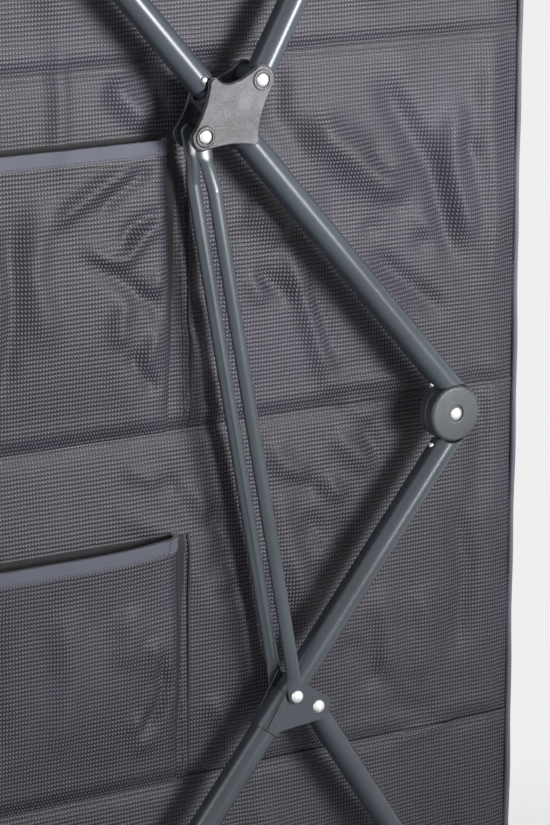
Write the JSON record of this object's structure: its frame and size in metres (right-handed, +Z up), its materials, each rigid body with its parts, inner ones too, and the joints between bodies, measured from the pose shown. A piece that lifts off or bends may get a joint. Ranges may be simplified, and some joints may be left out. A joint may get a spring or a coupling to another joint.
{
  "type": "camp kitchen cupboard",
  "caption": "Folding cupboard: a tube frame with jointed side linkages carries a hung fabric body with pockets, shelf boards and a flat worktop.",
  "frame": {"origin": "on the ground, at the middle of the four feet", "axes": "+Z up, -Y towards the door, +X towards the right side as the door is faced"},
  "size_m": [0.6176, 0.472, 1.0071],
  "materials": {
    "painted_tube": "satin grey paint",
    "moulded_grey": "fine cast texture",
    "moulded_dark": "matte moulded",
    "bright_rivet": "bright domed",
    "grey_fabric": "coated ripstop with pale dotted ribs",
    "shelf_board": "dark laminated board",
    "worktop_laminate": "pale grey laminate with a dark edge",
    "zip_metal": "dark enamel"
  },
  "bodies": {
    "base": {"base_rail_left": "painted_tube", "base_rail_right": "painted_tube", "base_corner_front_left": "moulded_dark", "base_corner_front_right": "moulded_dark", "base_corner_rear_left": "moulded_dark", "base_corner_rear_right": "moulded_dark", "base_crossbar_front": "painted_tube", "base_crossbar_rear": "painted_tube", "base_board": "shelf_board", "side_wall_left": "grey_fabric", "side_wall_right": "grey_fabric", "back_wall": "grey_fabric", "front_door": "grey_fabric", "pocket_upper_left": "grey_fabric", "pocket_upper_right": "grey_fabric", "pocket_lower_left": "grey_fabric", "pocket_lower_right": "grey_fabric"},
    "lower_legs": {"lower_leg_left": "painted_tube", "lower_leg_right": "painted_tube", "lower_knuckle_left": "moulded_grey", "lower_knuckle_right": "moulded_grey", "knuckle_rivet_left": "bright_rivet", "knuckle_rivet_right": "bright_rivet"},
    "upper_legs": {"upper_leg_left": "painted_tube", "upper_leg_right": "painted_tube", "upper_knuckle_left": "moulded_grey", "upper_knuckle_right": "moulded_grey", "hub_left": "moulded_grey", "hub_right": "moulded_grey", "stay_rivet_left": "bright_rivet", "stay_rivet_right": "bright_rivet", "brace_rivet_left": "bright_rivet", "brace_rivet_right": "bright_rivet"},
    "top": {"top_rail_left": "painted_tube", "top_rail_right": "painted_tube", "top_corner_front_left": "moulded_dark", "top_corner_front_right": "moulded_dark", "top_corner_rear_left": "moulded_dark", "top_corner_rear_right": "moulded_dark", "top_crossbar_front": "painted_tube", "top_crossbar_rear": "painted_tube", "worktop": "worktop_laminate"},
    "stays": {"stay_outer_left": "painted_tube", "stay_outer_right": "painted_tube", "stay_inner_left": "painted_tube", "stay_inner_right": "painted_tube"},
    "upper_braces": {"upper_brace_left": "painted_tube", "upper_brace_right": "painted_tube", "upper_clip_left": "moulded_dark", "upper_clip_right": "moulded_dark"},
    "runners": {"runner_left": "painted_tube", "runner_right": "painted_tube"},
    "lower_braces": {"lower_brace_left": "painted_tube", "lower_brace_right": "painted_tube", "lower_clip_left": "moulded_dark", "lower_clip_right": "moulded_dark"},
    "shelf_low": {"shelf_low": "shelf_board"},
    "shelf_mid": {"shelf_mid": "shelf_board"},
    "shelf_high": {"shelf_high": "shelf_board"},
    "zip_slider": {"zip_slider": "zip_metal"}
  },
  "joints": [
    {"name": "frame_fold", "type": "hinge", "parent": "base", "child": "lower_legs", "pos_m": [0, -0.218, 0.035], "axis": [-1, 0, 0], "range_deg": [0, 44], "deforming": ["side_wall_left", "side_wall_right", "back_wall", "front_door", "pocket_upper_left", "pocket_upper_right", "pocket_lower_left", "pocket_lower_right"]},
    {"name": "elbow", "type": "hinge", "parent": "lower_legs", "child": "upper_legs", "pos_m": [0, 0.16513, 0.5289], "axis": [1, 0, 0], "range_deg": [0, 88.1]},
    {"name": "top_level", "type": "hinge", "parent": "upper_legs", "child": "top", "pos_m": [0, -0.21769, 0.9858], "axis": [-1, 0, 0], "range_deg": [0, 44.05]},
    {"name": "stay_swing", "type": "hinge", "parent": "upper_legs", "child": "stays", "pos_m": [0, -0.00826, 0.7121], "axis": [-1, 0, 0], "range_deg": [0, 128.3]},
    {"name": "upper_brace_swing", "type": "hinge", "parent": "upper_legs", "child": "upper_braces", "pos_m": [0, 0.02875, 0.74086], "axis": [1, 0, 0], "range_deg": [0, 70.1]},
    {"name": "runner_slide", "type": "slide", "parent": "lower_legs", "child": "runners", "axis": [0, -0.6252, -0.7804], "range_m": [0, 0.3966]},
    {"name": "lower_brace_swing", "type": "hinge", "parent": "runners", "child": "lower_braces", "pos_m": [0, 0.06834, 0.36426], "axis": [1, 0, 0], "range_deg": [0, 109]},
    {"name": "shelf_low_drop", "type": "slide", "parent": "base", "child": "shelf_low", "axis": [0, 0, -1], "range_m": [0, 0.266]},
    {"name": "shelf_mid_drop", "type": "slide", "parent": "base", "child": "shelf_mid", "axis": [0, 0, -1], "range_m": [0, 0.4695]},
    {"name": "shelf_high_drop", "type": "slide", "parent": "base", "child": "shelf_high", "axis": [0, 0, -1], "range_m": [0, 0.6722]},
    {"name": "zip_travel", "type": "slide", "parent": "base", "child": "zip_slider", "axis": [-1, 0, 0], "range_m": [0, 0.4]}
  ],
  "couplings": [
    {"joint": "elbow", "follows": "frame_fold", "ratio": 2},
    {"joint": "top_level", "follows": "frame_fold", "ratio": 1},
    {"joint": "stay_swing", "follows": "frame_fold", "ratio": 2.911},
    {"joint": "upper_brace_swing", "follows": "frame_fold", "ratio": 1.589},
    {"joint": "runner_slide", "follows": "frame_fold", "m_per_rad": 0.5161},
    {"joint": "lower_brace_swing", "follows": "frame_fold", "ratio": 2.473},
    {"joint": "shelf_low_drop", "follows": "frame_fold", "m_per_rad": 0.346},
    {"joint": "shelf_mid_drop", "follows": "frame_fold", "m_per_rad": 0.611},
    {"joint": "shelf_high_drop", "follows": "frame_fold", "m_per_rad": 0.875}
  ]
}
